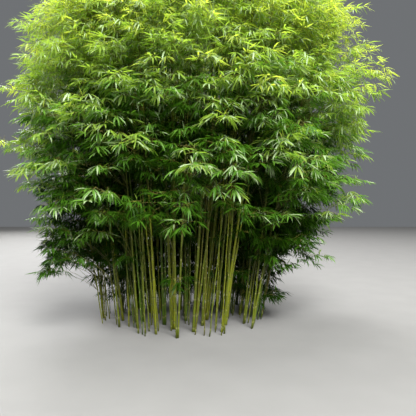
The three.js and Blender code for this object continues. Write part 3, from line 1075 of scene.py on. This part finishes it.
leafLook = {
    "roughness": 0.42,
    "gloss": {"deep": 0.12, "mid": 0.28, "fresh": 0.7, "bright": 0.7, "lime": 0.7, "pale": 0.4},
    # share of the light that shines through, and how it differs from the leaf's colour
    "through": {"deep": 0.3, "mid": 0.4, "fresh": 0.46, "bright": 0.54, "lime": 0.56, "pale": 0.25},
    "throughLight": 2.1,  # times as bright
    "throughBlue": 0.6,  # share of its blue
    "tints": {
        "deep": (0.011, 0.035, 0.001),
        "mid": (0.036, 0.102, 0.005),
        "fresh": (0.080, 0.182, 0.018),
        "bright": (0.172, 0.264, 0.036),
        "lime": (0.274, 0.336, 0.050),
        "pale": (0.205, 0.275, 0.140),  # undersides, partly a painted whitish sheen on lit leaves
    },
    # a leaf's tint goes by a light value, made of painted light and shade and of its own colour: the
    # middle one, with all that follows added
    "edges": (0.08, 0.26, 0.46, 0.80),  # of that value, between the tints
    "middle": 0.5,
    # painted light and shade by height: what each height adds, least low down and at the very top
    "paintedLightByHeight": ((500, 1800, 2600, 4000, 4700, 5500), (-0.65, -0.37, -0.05, 0.3, 0.12, -0.4)),
    "paintedLightBySide": 0.06,  # painted light added at the far right, and painted shade taken off at the far left
    "paintedLightInFront": (-700, 0.17),  # a y, and the painted light that low and hanging sprays before it gain
    "paintedLightOnArching": 0.1,  # painted light gained by an arching spray, high in the crown
    # painted shade deeper in the crown: the depth with no change, and how much more takes 1 off a hand
    # and off an arching spray
    "paintedShadeByDepth": (430, 900, 2600),
    "lowDepth": (560, 900),  # depth taken for the low and hanging sprays, in front and behind, which sets their painted shade
    "loose": 0.08,  # spread from plume to plume
    "byTwig": 0.32,  # range over the twigs of a plume
    "young": 0.3,  # gained by the short leaves at its head
    "turned": (0.25, 0.26),  # share of the leaves that show their pale underside, partly a painted whitish sheen, and from which light value up
    "fine": (560, 0.6),  # plumes less deep and less arching than this have the finer leaves
}

twigLook = {
    "branch": (0.075, 0.084, 0.010),
    "branchlet": (0.160, 0.140, 0.018),
    "roughness": 0.55,
}

# radii in millimetres
twigForm = {
    "sides": 3,
    "rise": 0.16,  # how far a branch bows upwards, as a share of its length
    "branch": (0.42, 4.5),  # share of its cane's radius, and at most
    "branchRings": 4,
    "branchEnd": 0.55,  # share of that radius at its end, where the axis starts
    "axis": 2.2,  # of an axis that stands on a cane
    "axisTaper": (1, 0.7, 0.4),
    "fine": (1.4, 1.1, 0.5),  # a branchlet's, from its root to its tip
    "plain": (1.3, 0.6),
}


def leafMaterial(tint):
    red, green, blue = leafLook["tints"][tint]
    material, shader = newMaterial("leaf_" + tint, leafLook["roughness"], leafLook["gloss"][tint])
    tree = material.node_tree
    shader.inputs["Base Color"].default_value = (red, green, blue, 1)
    through = tree.nodes.new("ShaderNodeBsdfTranslucent")
    warm = shade((red, green, blue * leafLook["throughBlue"]), leafLook["throughLight"])
    through.inputs["Color"].default_value = (*warm, 1)
    mix = tree.nodes.new("ShaderNodeMixShader")
    mix.inputs["Fac"].default_value = leafLook["through"][tint]
    tree.links.new(shader.outputs["BSDF"], mix.inputs[1])
    tree.links.new(through.outputs["BSDF"], mix.inputs[2])
    tree.links.new(mix.outputs["Shader"], tree.nodes["Material Output"].inputs["Surface"])
    return material


def twigMaterial(name):
    material, shader = newMaterial(name + "_skin", twigLook["roughness"])
    shader.inputs["Base Color"].default_value = (*twigLook[name], 1)
    return material


def nearestTier(points):
    # which ring of masses each point belongs to
    names = list(tiers)
    far = np.stack([(((points - space["middle"]) / space["reach"]) ** 2).sum(1) for space in spaces])
    tierOf = np.array([names.index(space["tier"]) for space in spaces])
    return tierOf[far.argmin(0)]


def tintLeaves(plumes, leaves, rng):
    # lighter tints outside and above for painted light, darker tints inside and below for painted shade,
    # and pale where leaves turn over, partly a painted whitish sheen
    places, arching = plumes["place"], plumes["arching"]
    below = np.isin(plumes["kind"], ("low", "hanging"))
    inFront, behind = leafLook["lowDepth"]
    depth = np.where(below, np.where(places[:, 1] < 0, inFront, behind), depthInCrown(places))
    fineDepth, fineArching = leafLook["fine"]
    plumes["fine"] = (depth < fineDepth) & (arching < fineArching)

    level, *paintedShadeSpans = leafLook["paintedShadeByDepth"]
    frontY, paintedFrontLight = leafLook["paintedLightInFront"]
    # painted light and shade: by height, by side, and for low and hanging sprays in front
    light = leafLook["middle"] + np.interp(places[:, 2], *leafLook["paintedLightByHeight"])
    light += leafLook["paintedLightBySide"] * (places[:, 0] - crown["middle"][0]) / crown["reach"][0]
    light += np.where(below & (places[:, 1] < frontY), paintedFrontLight, 0)
    # painted light on arching sprays, and painted shade the deeper a plume lies
    change = leafLook["paintedLightOnArching"] * arching - (depth - level) / between(paintedShadeSpans, arching)
    light += change + rng.normal(0, leafLook["loose"], len(places))
    value = light[leaves["plume"]] + leaves["lighter"]
    leaves["tint"] = np.digitize(value, leafLook["edges"])
    # pale leaves only where the light value is high: real undersides, partly a painted whitish sheen
    share, least = leafLook["turned"]
    turned = (value > least) & (rng.random(len(value)) < share)
    leaves["tint"][turned] = list(leafLook["tints"]).index("pale")


def leafMesh(shapes, fine):
    # fine leaves and plain ones in one mesh
    parts = []
    for leaves, faces in ((shapes[fine], fineLeaf), (shapes[~fine], plainLeaf)):
        triangles = faces[None] + (np.arange(len(leaves)) * shapes.shape[1])[:, None, None]
        parts.append((leaves.reshape(-1, 3), triangles.reshape(-1, 3)))
    points, triangles = joined(parts)
    used = np.unique(triangles)
    return points[used], np.searchsorted(used, triangles)


def makePiece(name, tierName, points, triangles, material):
    piece = meshPiece(name, points, triangles, [material])
    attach(piece, "root")
    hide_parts(*[space["node"] for space in spaces if space["tier"] == tierName])
    print(name, len(triangles), "triangles")
    return len(triangles)


def makeLeaves(plumes, leaves):
    total = 0
    tier, fine = plumes["tier"][leaves["plume"]], plumes["fine"][leaves["plume"]]
    materials = [leafMaterial(tint) for tint in leafLook["tints"]]
    for t, tierName in enumerate(tiers):
        for k, tint in enumerate(leafLook["tints"]):
            chosen = (leaves["tint"] == k) & (tier == t)
            if chosen.any():
                points, triangles = leafMesh(leaves["shape"][chosen], fine[chosen])
                name = f"leaves_{tierName}_{tint}"
                total += makePiece(name, tierName, points, triangles, materials[k])
    return total


def makeTwigs(plumes):
    # branches from the canes to the plumes, the plumes' axes, and the branchlets on them
    total = 0
    places, tier, fine = plumes["place"], plumes["tier"], plumes["fine"]
    seated = np.isin(plumes["kind"], ("crown", "hanging"))  # the others stand on their canes
    ends = places[seated]
    seats, caneRadii = seatPlumes(ends)
    far = np.linalg.norm(ends - seats, axis=1)
    bends = (seats + ends) / 2 + np.array([0, 0, twigForm["rise"]]) * far[:, None]
    rings, sides = twigForm["branchRings"], twigForm["sides"]
    lines = bowed(seats, bends, ends, np.linspace(0, 1, rings))
    share, most = twigForm["branch"]
    radii = np.minimum(share * caneRadii, most)
    branchTaper = np.linspace(1, twigForm["branchEnd"], rings)
    axisTaper = np.array(twigForm["axisTaper"])
    axes = bowed(places, plumes["middle"], plumes["end"], np.linspace(0, 1, len(axisTaper)))
    axisRadii = np.full(len(places), twigForm["axis"])
    axisRadii[seated] = twigForm["branchEnd"] * radii
    branchSkin, branchletSkin = twigMaterial("branch"), twigMaterial("branchlet")
    for t, tierName in enumerate(tiers):
        bears, here = tier[seated] == t, tier == t
        points, triangles = joined([
            rods(lines[bears], radii[bears, None] * branchTaper, sides),
            rods(axes[here], axisRadii[here, None] * axisTaper, sides),
        ])
        total += makePiece("branches_" + tierName, tierName, points, triangles, branchSkin)

        # straight ones on the plain plumes
        bowedOnes = plumes["branchlets"][here & fine].reshape(-1, 3, 3)
        straightOnes = plumes["branchlets"][here & ~fine][:, :, ::2].reshape(-1, 2, 3)
        points, triangles = joined([
            rods(bowedOnes, np.tile(twigForm["fine"], (len(bowedOnes), 1)), sides, False),
            rods(straightOnes, np.tile(twigForm["plain"], (len(straightOnes), 1)), sides, False),
        ])
        total += makePiece("branchlets_" + tierName, tierName, points, triangles, branchletSkin)
    return total


def makeFoliage():
    rng = np.random.default_rng(plumeRule["seed"])
    plumes = placePlumes(rng)
    plumes["tier"] = nearestTier(plumes["place"])
    growAxes(plumes, rng)
    growBranchlets(plumes, rng)
    leaves = growLeaves(plumes, rng)
    leaves["shape"] = leafShapes(leaves, rng)
    clear = standClear(leaves["shape"])
    leaves = {name: values[clear] for name, values in leaves.items()}
    print("leaves:", clear.sum(), "of", len(clear), "stand clear")
    tintLeaves(plumes, leaves, rng)
    print("fine plumes:", plumes["fine"].sum())
    print("foliage:", makeLeaves(plumes, leaves) + makeTwigs(plumes), "triangles")


makeFoliage()


# Floor, light and camera

studio = {
    "floor": 60000,
    "floorColour": (0.145, 0.143, 0.137),
    "floorFinish": {
        "roughness": 0.8, "gloss": 0.5, "shades": (0.97, 1.03), "scale": (2, 2, 2),
        "detail": 3.0, "ramp": (0.35, 0.7),
    },
    "worldColour": (0.80, 0.84, 0.88),
    "worldStrength": 0.20,
    # name, place, what it shines at, width, power
    "lights": (
        ("sky", (0.0, 2.0, 24.0), (0.2, 0, 2.8), 18.0, 7500),
        ("front", (6.0, -19.5, 19.0), (0.2, 0, 3.0), 16.0, 30500),
        ("back", (-9.0, 19.0, 14.0), (0, 0, 3.2), 12.0, 7500),
    ),
    "eye": (0.336, -6.3, 1.55),
    "lens": 38.08,
    "sensor": 36.0,
}


def addLight(name, place, target, width, power):
    light = bpy.data.lights.new(name, "AREA")
    light.shape = "DISK"
    light.size = width
    light.energy = power
    lamp = bpy.data.objects.new(name, light)
    lamp.location = place
    lamp.rotation_euler = (Vector(target) - Vector(place)).to_track_quat("-Z", "Y").to_euler()
    bpy.context.scene.collection.objects.link(lamp)


def makeFloor():
    half = studio["floor"] / 2
    corners = np.array([[-half, -half, 0], [half, -half, 0], [half, half, 0], [-half, half, 0]])
    material = mottledMaterial("floor_pale", studio["floorColour"], studio["floorFinish"])
    floor = meshPiece("studio_floor", corners, np.array([[0, 1, 2], [0, 2, 3]]), [material])


def makeWorld():
    world = bpy.data.worlds.new("studio")
    world.use_nodes = True
    sky = world.node_tree.nodes["Background"]
    sky.inputs["Color"].default_value = (*studio["worldColour"], 1)
    sky.inputs["Strength"].default_value = studio["worldStrength"]
    bpy.context.scene.world = world
    bpy.context.scene.view_settings.view_transform = "Standard"


def addCamera():
    camera = bpy.data.cameras.new("camera")
    camera.lens = studio["lens"]
    camera.sensor_width = studio["sensor"]
    eye = bpy.data.objects.new("camera", camera)
    eye.location = studio["eye"]
    eye.rotation_euler = (90 * degree, 0, 0)
    bpy.context.scene.collection.objects.link(eye)
    bpy.context.scene.camera = eye


makeFloor()
makeWorld()
for light in studio["lights"]:
    addLight(*light)
addCamera()
print("studio:", len(studio["lights"]), "lights, floor and camera")
